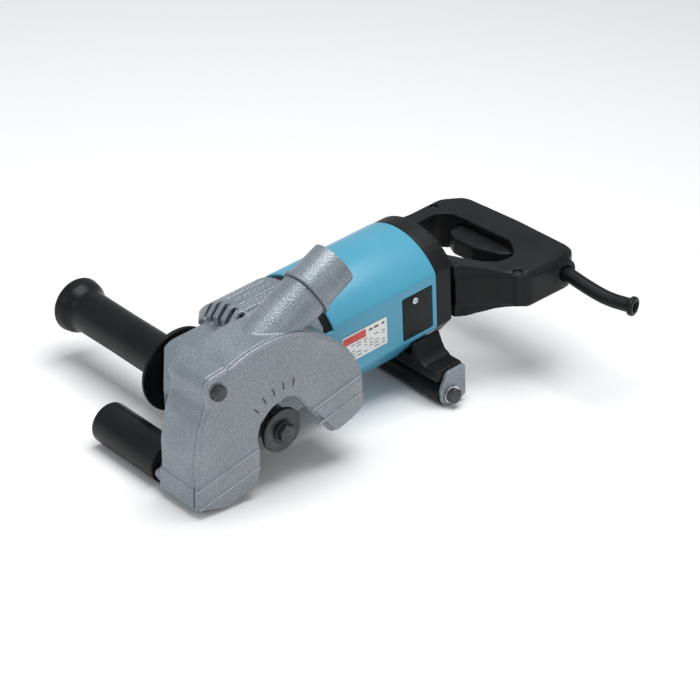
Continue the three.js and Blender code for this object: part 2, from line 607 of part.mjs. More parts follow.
add('guard_body', guardBody(), paint.casting, guard);
add('guard_cover', guardCover(), paint.face, guard);
add('dust_nozzle', dustNozzle(), paint.casting, guard);
add('guard_bolt', join(
  prism(hexagon(COVER_BOLT.u, COVER_BOLT.w, 13), GUARD_NEAR + GAP, GUARD_NEAR + 6, 'xz', 0, 0.6),
  prism(circle(COVER_BOLT.u, COVER_BOLT.w, 4, 16), GUARD_SPLIT - 20, GUARD_NEAR + 1, 'xz'),
), paint.darkSteel, guard);

// ---- front roller ----
function frontRoller() {
  const { x, z, r, far, near } = ROLLER;
  const tyre = turned([
    [0, far], [r - 3, far], [r - 0.8, far + 1], [r, far + 3], [r, near - 1], [r - 1, near], [0, near],
  ], 'xz', x, z, 40);
  const bore = prism(circle(x, z, 5 + GAP, 20), far + 8, near + 1, 'xz');
  return cut(tyre, bore);
}

function rollerWasher() {
  const { x, z, near } = ROLLER;
  return ring(10, 5 + GAP, near + GAP, near + 1.6, 'xz', x, z, 24);
}

const frontAxle = prism(circle(ROLLER.x, ROLLER.z, 5, 20), ROLLER.far + 9, GUARD_FAR + 4, 'xz');
add('front_axle', frontAxle, paint.steel);
add('front_roller', frontRoller(), paint.rubber);
add('front_roller_washer', rollerWasher(), paint.steel);

// ---- side grip ----
function sideGrip() {
  const start = DISC.to - GAP;
  const grip = turned([
    [0, -193], [24, -193], [27, -190.5], [27, -187], [24.5, -181], [21.8, -175], [20.8, -165],
    [20.3, -120], [20.3, start - 8], [21.3, start - 4], [21.3, start], [0, start],
  ], 'xz', GRIP_X, 0, 28);
  return cut(grip, prism(circle(GRIP_X, 0, 6 + GAP, 16), start - 40, 0, 'xz'));
}

add('side_grip', sideGrip(), paint.rubber);
add('hand_guard_disc', cut(prism(circle(GRIP_X, 0, DISC.r, 48), DISC.to, DISC.from, 'xz', 2.5, 0),
  prism(circle(GRIP_X, 0, 6 + GAP, 16), -60, 0, 'xz')), paint.rubber);
add('grip_stud', prism(circle(GRIP_X, 0, 6, 16), -78, CASE_FAR + 1.5, 'xz'), paint.steel);

// ---- D-handle ----
const LOOP_OUTER = [
  [-248, -44], [-268, -60, 10], [-292, -67, 30], [-345, -67, 20], [-368, -50, 20], [-372, 20, 200, 2],
  [-372, 89, 13, 4], [-356, 98, 6], [-306, 96, 10], [-286, 72, 20], [-258, 48, 10], [-248, 46],
];
const LOOP_EYE = [
  [-270, -30, 8], [-280, -46, 6], [-322, -46, 12], [-333, -34, 12], [-336, 40, 14], [-322, 62, 14],
  [-304, 60, 8], [-278, 34, 20], [-268, 20, 8],
];
const TRIGGER = { x: -333, y: 46 };
const CORD_EXIT = { x: -352, y: 97 };
const HANDLE_SCREWS = [[-303, 84], [-330, -57]];

function handleLoop(depth, flare, wall) {
  const outer = rounded(LOOP_OUTER);
  const eye = rounded(LOOP_EYE);
  const ccw = THREE.ShapeUtils.area(outer.map(([a, b]) => new THREE.Vector2(a, b))) > 0
    ? outer : [...outer].reverse();
  const eyeCcw = THREE.ShapeUtils.area(eye.map(([a, b]) => new THREE.Vector2(a, b))) > 0
    ? eye : [...eye].reverse();
  const flareOutline = rounded([
    [COVER_REAR - GAP, GAP / 2], [COVER_REAR - GAP, flare], [COVER_REAR - 8, flare, 4],
    [-300, depth - 2, 40], [-306, depth - 2], [-306, GAP / 2],
  ]);
  const solidLoop = join(
    prism(ccw, GAP / 2, depth, 'xy', 0, 5),
    prism(flareOutline, -70, 100, 'xz').intersect(prism(inset(ccw, 2), 0, 60, 'xy')),
    prism(circle(CORD_EXIT.x, 0, 13, 24), CORD_EXIT.y - 8, CORD_EXIT.y + 2, 'xz')
      .intersect(box(-400, -300, 80, 110, GAP / 2, 30)),
  );
  const shell = cut(solidLoop, prism(eyeCcw, -1, 60, 'xy'));
  const eyeWall = prism(inset(eyeCcw, -wall), -2, 60, 'xy');
  const hollow = cut(prism(inset(ccw, wall), -1, depth - wall, 'xy'), eyeWall);
  return cut(shell, hollow);
}

function handleShell(upper) {
  const depth = upper ? HANDLE_HALF : HANDLE_HALF + 3;
  let shell = handleLoop(depth, upper ? 26 : 30, 3.2);
  const keep = box(-400, COVER_REAR - GAP, -100, 120, 0, 40);
  shell = shell.intersect(keep);
  const triggerGate = box(TRIGGER.x - 12, TRIGGER.x + 24, -28, 53, -1, 10.5);
  const cord = prism(circle(CORD_EXIT.x, 0, 7.6, 20), CORD_EXIT.y - 14, CORD_EXIT.y + 6, 'xz');
  shell = cut(shell, triggerGate, cord);
  for (const [x, y] of HANDLE_SCREWS) {
    shell = join(shell, prism(circle(x, y, 6.5, 20), GAP / 2, depth - 3, 'xy'));
    shell = cut(shell, prism(circle(x, y, 2 + GAP, 12), -1, 40, 'xy'));
    if (upper) shell = cut(shell, prism(circle(x, y, 4.2, 16), HANDLE_HALF - 5, 40, 'xy'));
  }
  return shell;
}

function handleScrew([x, y]) {
  const head = prism(circle(x, y, 3.8, 16), HANDLE_HALF - 5 + GAP, HANDLE_HALF - 2.2, 'xy', 0, 0.6);
  const shank = prism(circle(x, y, 2, 12), -12, HANDLE_HALF - 4, 'xy');
  return cut(join(head, shank), box(x - 3, x + 3, y - 0.5, y + 0.5, HANDLE_HALF - 3.2, 40));
}

function trigger() {
  const outline = rounded([
    [-336, 47, 3], [-331, 49, 3], [-322, 40, 10], [-313, 14, 16],
    [-312, -12, 10], [-318, -24, 4], [-336, -24, 3],
  ]);
  return prism(outline, -9.5, 9.5, 'xy', 1.5, 1.5);
}

function lowerShell() {
  const shell = handleShell(false).mirror([0, 0, 1]);
  return cut(shell, prism(circle(-352, 12, 5 + GAP, 20), -30, -10, 'xy'));
}

add('handle_upper_shell', handleShell(true), paint.black);
add('handle_lower_shell', lowerShell(), paint.black);
HANDLE_SCREWS.forEach((place, i) => add(`handle_screw_${i + 1}`, handleScrew(place), paint.steel));
add('trigger', trigger(), paint.black);
add('switch_body', prism(rectangle(-361, -346, -24, 44, 2, 2), -10, 10, 'xy'), paint.carbon);
add('lock_button', prism(circle(-352, 12, 5, 20), -24.5, -14.5, 'xy', 1, 0), paint.black);
add('cord_clamp', box(-364, -341, 60, 72, -10, -4.5), paint.steel);

function cordGuard() {
  const path = new THREE.CatmullRomCurve3([
    [-352, 85, 0], [-352, 101, 0], [-353, 124, -4], [-357, 148, -8.5], [-364, 173, -9],
  ].map((p) => new THREE.Vector3(...p)));
  const tube = (radius) => {
    const section = new THREE.Shape().absarc(0, 0, radius, 0, 2 * Math.PI);
    return solid(new THREE.ExtrudeGeometry(section, { steps: 9, extrudePath: path, curveSegments: 5 }));
  };
  const end = path.getPointAt(1);
  const tangent = path.getTangentAt(1);
  const turn = THREE.MathUtils.radToDeg(Math.atan2(-tangent.x, tangent.y));
  const rim = [[5.5, -4], [8, -4], [9.5, -2.5], [9.5, 0.5], [8.5, 2], [5.5, 2], [5.5, -4]];
  const bead = turned(rim, 'xz', 0, 0, 16)
    .rotate([0, 0, turn]).translate(end.toArray());
  const foot = prism(circle(-352, 0, 8.4, 16), 84.5, 89.5, 'xz');
  return cut(join(tube(7.1), bead, foot), tube(4.4), box(-360, -344, 80, 85.2, -10, 10));
}

add('cord_guard', cordGuard(), paint.rubber);

// ---- rear bracket and roller ----
function rearBracket() {
  const { x, z, far, near } = REAR_ROLLER;
  const beam = prism(rectangle(x - 19, x + 14, z + 15.5, z + 27, 3, 2), far - 4.5, near + 1, 'xz');
  const arch = [
    [-62, -48], [-46, -30], [52, -30, 2], [58, -44, 14], [72, -52, 8], [72, -58], [-62, -58],
  ];
  const saddle = prism(rounded(arch), x - 19, x + 14, 'yz');
  const housing = prism(barrelOutline(HOUSING_RADIUS + GAP, HOUSING_HALF_WIDTH + GAP), -300, 0, 'yz');
  const flank = box(-300, 0, -60, 48, -44, 0);
  return cut(join(beam, saddle), housing, flank);
}

function bracketPlate(from, to) {
  const { x, z } = REAR_ROLLER;
  const outline = rounded([[x - 19, z + 25, 3], [x - 19, z - 9, 3], [x - 4, z - 11.5, 6], [x + 11, z - 9, 8],
    [x + 12, z + 8, 8], [x + 4, z + 25, 6]]);
  return cut(prism(outline, from, to, 'xz'), prism(circle(x, z, 4 + GAP, 16), -90, 110, 'xz'));
}

const bolt = REAR_ROLLER;
add('rear_bracket', rearBracket(), paint.black);
add('rear_plate_near', bracketPlate(bolt.near + 1.3, bolt.near + 5.3), paint.casting);
add('rear_plate_far', bracketPlate(bolt.far - 8.8, bolt.far - 4.8), paint.casting);
add('rear_roller', cut(prism(circle(bolt.x, bolt.z, bolt.r, 36), bolt.far, bolt.near, 'xz', 1, 1),
  prism(circle(bolt.x, bolt.z, 4 + GAP, 16), -90, 110, 'xz')), paint.rubber);
add('rear_roller_bolt', join(
  prism(circle(bolt.x, bolt.z, 4, 16), bolt.far - 14, bolt.near + 8, 'xz'),
  prism(hexagon(bolt.x, bolt.z, 13), bolt.near + 7.5, bolt.near + 13, 'xz', 0, 0.6),
), paint.darkSteel);
add('rear_roller_washer', ring(9, 4 + GAP, bolt.near + 5.6, bolt.near + 7.2, 'xz', bolt.x, bolt.z, 24),
  paint.steel);

// ---- whole machine on its rollers ----
const machine = new THREE.Group();
machine.add(body);
body.rotation.y = BODY_PITCH;
machine.updateMatrixWorld(true);
const extent = new THREE.Box3().setFromObject(machine, true);
const middle = extent.getCenter(new THREE.Vector3());
body.position.set(-middle.x, -middle.y, -extent.min.z);

export default machine;
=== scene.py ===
"""Looks of the wall chaser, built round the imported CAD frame."""

import json
import math

import bmesh
import bpy
from mathutils import Matrix, Vector


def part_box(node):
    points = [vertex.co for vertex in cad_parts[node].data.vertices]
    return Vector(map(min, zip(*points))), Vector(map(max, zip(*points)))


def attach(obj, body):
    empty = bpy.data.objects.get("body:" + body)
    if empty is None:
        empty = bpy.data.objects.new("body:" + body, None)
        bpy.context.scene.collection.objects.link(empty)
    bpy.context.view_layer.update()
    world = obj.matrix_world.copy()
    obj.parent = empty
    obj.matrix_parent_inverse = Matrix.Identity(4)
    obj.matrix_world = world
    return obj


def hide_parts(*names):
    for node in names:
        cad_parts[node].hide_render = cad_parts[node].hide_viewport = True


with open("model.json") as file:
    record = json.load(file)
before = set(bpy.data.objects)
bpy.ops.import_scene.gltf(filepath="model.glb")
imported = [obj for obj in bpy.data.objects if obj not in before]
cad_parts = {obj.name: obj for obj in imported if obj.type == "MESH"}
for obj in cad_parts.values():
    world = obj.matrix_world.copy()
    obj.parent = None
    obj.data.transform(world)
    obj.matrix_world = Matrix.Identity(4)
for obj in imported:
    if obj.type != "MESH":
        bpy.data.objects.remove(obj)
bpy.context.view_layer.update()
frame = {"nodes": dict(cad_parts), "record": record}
NODES = frame["nodes"]
SLOT_OF = {part["node"]: part["material_slot"] for part in frame["record"]["subparts"]}
BODY_OF = {n: body for body, group in frame["record"]["behaviour"]["bodies"].items() for n in group}
MM = 0.001
PITCH = math.radians(8.7)  # how far the machine leans forward on its rollers
GUARD_TURN = math.radians(9)  # how far the guard is turned on the machine at rest
SEGMENTS = 96  # steps round a turned piece
SHARP = math.radians(38)  # edges that bend more than this stay sharp
WHEEL_SIDE = 102  # the outer flange's face, from the machine's middle plane
COVER_FACE = 105.6  # the guard cover's outer face


def centre_of(node):
    low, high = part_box(node)
    return (low + high) / 2


# The machine's own frame in millimetres: spindle axis at x = z = 0, motor behind it.
spindle = centre_of("outer_flange")
origin = Vector((spindle.x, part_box("outer_flange")[1].y - WHEEL_SIDE * MM, spindle.z))
MACHINE = Matrix.Translation(origin) @ Matrix.Rotation(PITCH, 4, "Y") @ Matrix.Scale(MM, 4)
GUARD = MACHINE @ Matrix.Rotation(GUARD_TURN, 4, "Y")


def depth_of(node):
    """A node's lowest and highest y in the machine's frame."""
    low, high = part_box(node)
    return (low.y - origin.y) / MM, (high.y - origin.y) / MM


def middle_of(node):
    return MACHINE.inverted() @ centre_of(node)


# ---- camera, lights and floor ----
EYE = (1.3591, 1.4377, 1.0950)
EYE_ANGLES = (45.73, 27.95, 4.75)  # azimuth and elevation seen from, and roll


def build_camera():
    data = bpy.data.cameras.new("camera")
    camera = bpy.data.objects.new("camera", data)
    bpy.context.scene.collection.objects.link(camera)
    azimuth, elevation, roll = (math.radians(angle) for angle in EYE_ANGLES)
    forward = -Vector((
        math.cos(azimuth) * math.cos(elevation),
        math.sin(azimuth) * math.cos(elevation),
        math.sin(elevation),
    ))
    look = forward.to_track_quat("-Z", "Y").to_matrix() @ Matrix.Rotation(roll, 3, "Z")
    camera.matrix_world = Matrix.Translation(EYE) @ look.to_4x4()
    data.sensor_width = 36
    data.lens = 125
    data.clip_start, data.clip_end = 0.05, 20
    bpy.context.scene.camera = camera


def area_light(name, place, target, width, height, power):
    data = bpy.data.lights.new(name, "AREA")
    data.shape = "RECTANGLE"
    data.size, data.size_y, data.energy = width, height, power
    light = bpy.data.objects.new(name, data)
    bpy.context.scene.collection.objects.link(light)
    light.location = place
    light.rotation_euler = (Vector(target) - Vector(place)).to_track_quat("-Z", "Y").to_euler()


def build_studio():
    """Soft light from above with a little from the sides, over a plain pale floor."""
    world = bpy.data.worlds.new("studio")
    bpy.context.scene.world = world
    world.use_nodes = True
    sky = world.node_tree.nodes["Background"]
    sky.inputs["Color"].default_value = (0.95, 0.97, 1.0, 1)
    sky.inputs["Strength"].default_value = 0.46
    area_light("overhead", (0.0, 0.1, 1.7), (0, 0, 0), 1.3, 1.0, 24)
    area_light("side", (0.5, 1.8, 1.1), (0.05, 0, 0.08), 1.0, 0.8, 3)
    area_light("front", (1.8, -0.5, 1.0), (0.1, 0, 0.08), 0.8, 0.8, 4)
    bpy.context.scene.view_settings.view_transform = "Standard"
    bpy.ops.mesh.primitive_plane_add(size=14)
    floor = bpy.context.object
    floor.name = "floor"
    look = bpy.data.materials.new("floor")
    look.use_nodes = True
    shader = look.node_tree.nodes["Principled BSDF"]
    shader.inputs["Base Color"].default_value = (0.93, 0.93, 0.93, 1)
    shader.inputs["Roughness"].default_value = 0.9
    shader.inputs["Specular IOR Level"].default_value = 0.1
    floor.data.materials.append(look)


# ---- materials ----
def ramp(nodes, low, high, start=0.35, end=0.65):
    """A colour ramp from low to high between two values of what feeds it."""
    node = nodes.new("ShaderNodeValToRGB")
    node.color_ramp.elements[0].position = start
    node.color_ramp.elements[1].position = end
    node.color_ramp.elements[0].color = (*low, 1)
    node.color_ramp.elements[1].color = (*high, 1)
    return node


def noise(tree, scale, detail=2.0, stretch=None):
    """A noise texture in the object's own metres, with scale in cells per metre."""
    place = tree.nodes.new("ShaderNodeTexCoord").outputs["Object"]
    if stretch:
        mapping = tree.nodes.new("ShaderNodeMapping")
        mapping.inputs["Scale"].default_value = stretch
        tree.links.new(place, mapping.inputs["Vector"])
        place = mapping.outputs["Vector"]
    node = tree.nodes.new("ShaderNodeTexNoise")
    node.inputs["Scale"].default_value = scale
    node.inputs["Detail"].default_value = detail
    tree.links.new(place, node.inputs["Vector"])
    return node


def surface(name, low, high, rough, metallic=0.0, blotch=30, speckle=None, grain=None,
            painted_edge_highlight=None, coat=0.0, specular=0.5, stretch=None, pits=None):
    """A patterned material.

    low and high are the darkest and lightest base colours, rough the lowest and highest roughness,
    and blotch the cells per metre in which both vary. speckle is (cells per metre, strength), grain
    and pits are (cells per metre, height in metres, strength), stretch scales the pattern on each
    axis, and the given edge colour is a painted highlight laid on convex edges.
    """
    look = bpy.data.materials.new(name)
    look.use_nodes = True
    tree = look.node_tree
    nodes, links = tree.nodes, tree.links
    shader = nodes["Principled BSDF"]
    shader.inputs["Metallic"].default_value = metallic
    shader.inputs["Specular IOR Level"].default_value = specular
    shader.inputs["Coat Weight"].default_value = coat
    shader.inputs["Coat Roughness"].default_value = 0.2
    tint = ramp(nodes, low, high)
    links.new(noise(tree, blotch, 3, stretch).outputs["Fac"], tint.inputs["Fac"])
    colour = tint.outputs["Color"]
    if speckle:
        cells, strength = speckle
        dots = ramp(nodes, (1 - strength,) * 3, (1 + strength,) * 3, 0.38, 0.62)
        links.new(noise(tree, cells, 1).outputs["Fac"], dots.inputs["Fac"])
        mix = nodes.new("ShaderNodeMix")
        mix.data_type, mix.blend_type = "RGBA", "MULTIPLY"
        mix.inputs["Factor"].default_value = 1
        links.new(colour, mix.inputs["A"])
        links.new(dots.outputs["Color"], mix.inputs["B"])
        colour = mix.outputs["Result"]
    # Painted highlight: convex edges, picked out by pointiness, are lightened towards the edge
    # colour.
    if painted_edge_highlight:
        edge = ramp(nodes, (0, 0, 0), (1, 1, 1), 0.53, 0.6)
        links.new(nodes.new("ShaderNodeNewGeometry").outputs["Pointiness"], edge.inputs["Fac"])
        mix = nodes.new("ShaderNodeMix")
        mix.data_type = "RGBA"
        links.new(edge.outputs["Color"], mix.inputs["Factor"])
        links.new(colour, mix.inputs["A"])
        mix.inputs["B"].default_value = (*painted_edge_highlight, 1)
        colour = mix.outputs["Result"]
    links.new(colour, shader.inputs["Base Color"])
    gloss = nodes.new("ShaderNodeMapRange")
    gloss.inputs["To Min"].default_value, gloss.inputs["To Max"].default_value = rough
    links.new(noise(tree, blotch * 4, 3, stretch).outputs["Fac"], gloss.inputs["Value"])
    links.new(gloss.outputs["Result"], shader.inputs["Roughness"])
    normal = None
    for relief in filter(None, (pits, grain)):
        scale, height, strength = relief
        bump = nodes.new("ShaderNodeBump")
        bump.inputs["Distance"].default_value = height
        bump.inputs["Strength"].default_value = strength
        if relief is pits:
            cells = nodes.new("ShaderNodeTexVoronoi")
            cells.feature = "SMOOTH_F1"
            cells.inputs["Scale"].default_value = scale
            links.new(nodes.new("ShaderNodeTexCoord").outputs["Object"], cells.inputs["Vector"])
            links.new(cells.outputs["Distance"], bump.inputs["Height"])
        else:
            links.new(noise(tree, scale, 2, stretch).outputs["Fac"], bump.inputs["Height"])
        if normal:
            links.new(normal, bump.inputs["Normal"])
        normal = bump.outputs["Normal"]
    if normal:
        links.new(normal, shader.inputs["Normal"])
    return look


LOOKS = {
    "blue_plastic": surface(
        "blue_plastic", (0.062, 0.315, 0.46), (0.072, 0.34, 0.49), (0.28, 0.38), blotch=14,
        grain=(1500, 0.00003, 0.25), coat=0.1),
    "black_plastic": surface(
        "black_plastic", (0.006, 0.0065, 0.007), (0.010, 0.011, 0.012), (0.36, 0.48),
        specular=0.2, grain=(1400, 0.0001, 0.4)),
    "black_rubber": surface(
        "black_rubber", (0.004, 0.0045, 0.005), (0.008, 0.009, 0.0095), (0.3, 0.42),
        specular=0.2, grain=(1200, 0.00006, 0.3)),
    # The lighter edge colour of this casting is a painted highlight on its convex edges.
    "grey_casting": surface(
        "grey_casting", (0.2, 0.235, 0.262), (0.245, 0.28, 0.31), (0.3, 0.44), metallic=0.35,
        speckle=(900, 0.2), pits=(760, 0.0006, 0.5), painted_edge_highlight=(0.5, 0.54, 0.58)),
    # The lighter edge colour of this face is a painted highlight on its convex edges.
    "grey_face": surface(
        "grey_face", (0.235, 0.255, 0.28), (0.265, 0.285, 0.31), (0.36, 0.48), metallic=0.3,
        speckle=(700, 0.16), grain=(600, 0.0006, 0.4), painted_edge_highlight=(0.5, 0.53, 0.57)),
    "steel": surface(
        "steel", (0.5, 0.5, 0.52), (0.66, 0.66, 0.68), (0.2, 0.36), metallic=1, blotch=90,
        grain=(900, 0.00004, 0.3)),
    "dark_steel": surface(
        "dark_steel", (0.045, 0.048, 0.052), (0.075, 0.08, 0.085), (0.32, 0.48), metallic=0.7,
        blotch=120, grain=(1400, 0.00006, 0.35)),
    "copper": surface(
        "copper", (0.5, 0.2, 0.09), (0.68, 0.31, 0.15), (0.25, 0.4), metallic=1, blotch=150,
        grain=(1800, 0.00006, 0.3)),
    "lamination": surface(
        "lamination", (0.16, 0.165, 0.17), (0.28, 0.285, 0.29), (0.35, 0.5), metallic=0.9,
        blotch=1400, stretch=(1, 0.02, 0.02), grain=(1400, 0.0001, 0.5)),
    "carbon": surface(
        "carbon", (0.012, 0.012, 0.013), (0.026, 0.026, 0.027), (0.5, 0.7), blotch=300,
        grain=(2500, 0.00006, 0.4)),
    "label_sheet": surface(
        "label_sheet", (0.74, 0.74, 0.73), (0.8, 0.8, 0.79), (0.35, 0.45), blotch=60,
        grain=(900, 0.00002, 0.2)),
}
LABEL_RED = surface(
    "label_red", (0.55, 0.05, 0.045), (0.62, 0.07, 0.06), (0.3, 0.4), blotch=90,
    grain=(900, 0.00002, 0.2))
LABEL_INK = surface(
    "label_ink", (0.1, 0.1, 0.11), (0.16, 0.16, 0.17), (0.4, 0.5), blotch=200,
    grain=(900, 0.00002, 0.2))


# ---- outlines ----
def arc(a, b, radius, start, end, steps):
    """Points on an arc, with its angles in degrees."""
    turns = [math.radians(start + (end - start) * i / steps) for i in range(steps + 1)]
    return [(a + radius * math.cos(t), b + radius * math.sin(t)) for t in turns]


def circle(a, b, radius, steps=SEGMENTS):
    return arc(a, b, radius, 0, 360, steps)[:-1]


def rounded(corners, steps=6):
    """A closed outline of corners (a, b, radius), rounded where they give a radius."""
    points = []
    for i, (a, b, *rest) in enumerate(corners):
        if not rest:
            points.append((a, b))
            continue
        radius = rest[0]
        corner = Vector((a, b))
        back = (Vector(corners[i - 1][:2]) - corner).normalized()
        ahead = (Vector(corners[(i + 1) % len(corners)][:2]) - corner).normalized()
        half = math.acos(max(-1, min(1, back.dot(ahead)))) / 2
        first = corner + back * (radius / math.tan(half))
        last = corner + ahead * (radius / math.tan(half))
        centre = corner + (back + ahead).normalized() * (radius / math.sin(half))
        start = math.degrees(math.atan2(*(first - centre).yx))
        sweep = math.degrees(math.atan2(*(last - centre).yx)) - start
        sweep -= 360 * round(sweep / 360)
        points += arc(*centre, radius, start, start + sweep, steps)
    return points


def rectangle(left, right, low, high, radius, right_radius=None, steps=6):
    """A rounded rectangle, which may have other corners on its right side."""
    other = right_radius or radius
    corners = [(left, low, radius), (right, low, other), (right, high, other), (left, high, radius)]
    return rounded(corners, steps)


def counter_clockwise(outline):
    pairs = zip(outline, outline[1:] + outline[:1])
    area = sum(a[0] * b[1] - b[0] * a[1] for a, b in pairs) / 2
    return outline if area > 0 else outline[::-1]


def inset(outline, distance):
    """The counter-clockwise outline with every edge moved inwards."""
    count = len(outline)
    moved = []
    for i in range(count):
        before, here, after = (Vector(outline[(i + k) % count]) for k in (-1, 0, 1))
        one = Vector(((here - before).y * -1, (here - before).x)).normalized()
        two = Vector(((after - here).y * -1, (after - here).x)).normalized()
        middle = (one + two).normalized()
        moved.append(tuple(here + middle * (distance / max(0.5, middle.dot(two)))))
    return moved


# ---- pieces ----
def added(name, mesh, body, slot, look=None):
    """Adds a mesh as a piece on a body, with its slot's look if none is given."""
    obj = bpy.data.objects.new(name, mesh)
    bpy.context.scene.collection.objects.link(obj)
    mesh.materials.append(look or LOOKS[slot])
    mesh.shade_smooth()
    mesh.set_sharp_from_angle(angle=SHARP)
    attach(obj, body)
    return obj


def piece(name, mesh, node, *others):
    """Adds a mesh that stands for CAD nodes, with the first one's body and slot."""
    obj = added(name, mesh, BODY_OF[node], SLOT_OF[node])
    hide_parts(node, *others)


def mesh_of(name, bm, place):
    """The mesh that was built in a place's own frame."""
    bmesh.ops.recalc_face_normals(bm, faces=bm.faces)
    bm.transform(place)
    mesh = bpy.data.meshes.new(name)
    bm.to_mesh(mesh)
    bm.free()
    return mesh


def loft(bm, rings, cap=True):
    """Joins rings of equal length, given as lists of 3-D points, and returns their vertices."""
    loops = [[bm.verts.new(p) for p in ring] for ring in rings]
    for one, two in zip(loops, loops[1:]):
        for i in range(len(one)):
            j = (i + 1) % len(one)
            bm.faces.new((one[i], one[j], two[j], two[i]))
    if cap:
        bm.faces.new(loops[0])
        bm.faces.new(reversed(loops[-1]))
    return loops


def turned(name, profile, place):
    """A turned mesh round the local Z axis from closed (radius, height) corners."""
    bm = bmesh.new()
    turns = [2 * math.pi * i / SEGMENTS for i in range(SEGMENTS)]
    columns = []
    for radius, height in profile:
        if radius < 1e-6:
            columns.append([bm.verts.new((0, 0, height))] * SEGMENTS)
            continue
        columns.append([
            bm.verts.new((radius * math.cos(t), radius * math.sin(t), height)) for t in turns
        ])
    for one, two in zip(columns, columns[1:] + columns[:1]):
        for i in range(SEGMENTS):
            j = (i + 1) % SEGMENTS
            corners = list(dict.fromkeys((one[i], one[j], two[j], two[i])))
            if len(corners) > 2:
                bm.faces.new(corners)
    return mesh_of(name, bm, place)


def along(place, axis, spot):
    """A frame at a spot of a place with its Z axis along an axis of that place."""
    turn = Vector((0, 0, 1)).rotation_difference(Vector(axis)).to_matrix().to_4x4()
    return place @ Matrix.Translation(spot) @ turn


def edge_steps(edge, steps):
    """The (rise, inset) steps of a rounded edge, from an end face to the side."""
    turns = [math.pi / 2 * k / steps for k in range(steps + 1)]
    return [(edge * (1 - math.cos(turn)), edge * (1 - math.sin(turn))) for turn in turns]


def plate(name, outline, low, high, place, edge):
    """An outline in x and z extruded along y, with rounded edges at both ends."""
    ring = counter_clockwise(outline)
    start = [(low + rise, depth) for rise, depth in edge_steps(edge, 3)]
    levels = start + [(low + high - at, depth) for at, depth in reversed(start)]
    bm = bmesh.new()
    loft(bm, [[(a, at, b) for a, b in inset(ring, depth)] for at, depth in levels])
    return mesh_of(name, bm, place)


def extruded(bm, outline, low, high):
    """A plain extrusion of an outline in x and z from one y to another."""
    loft(bm, [[(a, at, b) for a, b in outline] for at in (low, high)])


def softened(name, nodes, voxel, rounds, keep):
    """A fine copy of CAD nodes with their edges rounded as a casting's or moulding's are.

    voxel is the remesh size in mm, rounds the rounds of smoothing, keep the share of faces kept.
    """
    bm = bmesh.new()
    for node in nodes:
        bm.from_mesh(NODES[node].data)
    source = bpy.data.meshes.new("source")
    bm.to_mesh(source)
    bm.free()
    work = bpy.data.objects.new("work", source)
    bpy.context.scene.collection.objects.link(work)
    remesh = work.modifiers.new("remesh", "REMESH")
    remesh.mode, remesh.voxel_size = "VOXEL", voxel * MM
    smooth = work.modifiers.new("smooth", "SMOOTH")
    smooth.factor, smooth.iterations = 0.5, rounds
    work.modifiers.new("thin", "DECIMATE").ratio = keep
    graph = bpy.context.evaluated_depsgraph_get()
    mesh = bpy.data.meshes.new_from_object(work.evaluated_get(graph), depsgraph=graph)
    mesh.name = name
    mesh.materials.clear()
    bpy.data.objects.remove(work)
    return mesh


def combined(mesh, operation, other):
    """One mesh joined to, or cut by, another."""
    objects = [bpy.data.objects.new("work", part) for part in (mesh, other)]
    for obj in objects:
        bpy.context.scene.collection.objects.link(obj)
    step = objects[0].modifiers.new("step", "BOOLEAN")
    step.operation, step.solver, step.object = operation, "EXACT", objects[1]
    graph = bpy.context.evaluated_depsgraph_get()
    result = bpy.data.meshes.new_from_object(objects[0].evaluated_get(graph), depsgraph=graph)
    result.materials.clear()
    for obj in objects:
        bpy.data.objects.remove(obj)
    return result


# ---- castings and mouldings ----
SOFT = {  # node: (voxel, rounds, keep)
    "guard_body": (0.8, 5, 0.4),
    "guard_cover": (0.6, 5, 0.4),
    "gear_housing": (0.8, 3, 0.45),
    "bearing_box": (0.8, 4, 0.5),
    "rear_end_cover": (0.75, 4, 0.45),
    "rear_bracket": (0.9, 5, 0.5),
    "rear_plate_near": (0.6, 5, 0.5),
    "rear_plate_far": (0.6, 5, 0.5),
    "trigger": (0.6, 5, 0.5),
    "cord_guard": (0.5, 6, 0.5),
}


def build_castings():
    for node, settings in SOFT.items():
        piece(f"{node}_finished", softened(node, [node], *settings), node)
    shells = ("handle_upper_shell", "handle_lower_shell")
    piece("handle_shells_finished", softened("handle", shells, 0.95, 7, 0.4), *shells)


# ---- motor housing ----
HOUSING_RADIUS = 61.5
HOUSING_HALF = 52  # half the width over the flat sides
HOUSING_REAR, HOUSING_FRONT = -230, -104
HOUSING_WALL = 3
HOUSING_FOOT = (26.8, -56)  # the edge of the flat bottom
FLANK_TOP = -24.5  # where the flat sides turn into the sloping flanks


def housing_section():
    """The housing's outline: round on top, flat sides, sloping below to a flat bottom."""
    side = math.degrees(math.acos(HOUSING_HALF / HOUSING_RADIUS)) + 4
    turn = math.radians(side)
    rise = (HOUSING_HALF - HOUSING_RADIUS * math.cos(turn)) / math.tan(turn)
    crease = HOUSING_RADIUS * math.sin(turn) - rise
    y, z = HOUSING_FOOT
    corners = [(HOUSING_HALF, FLANK_TOP, 5), (HOUSING_HALF, crease, 10)]
    corners += arc(0, 0, HOUSING_RADIUS, side, 180 - side, 48)
    corners += [(-HOUSING_HALF, crease, 10), (-HOUSING_HALF, FLANK_TOP, 5), (-y, z, 8), (y, z, 8)]
    return counter_clockwise(rounded(corners))


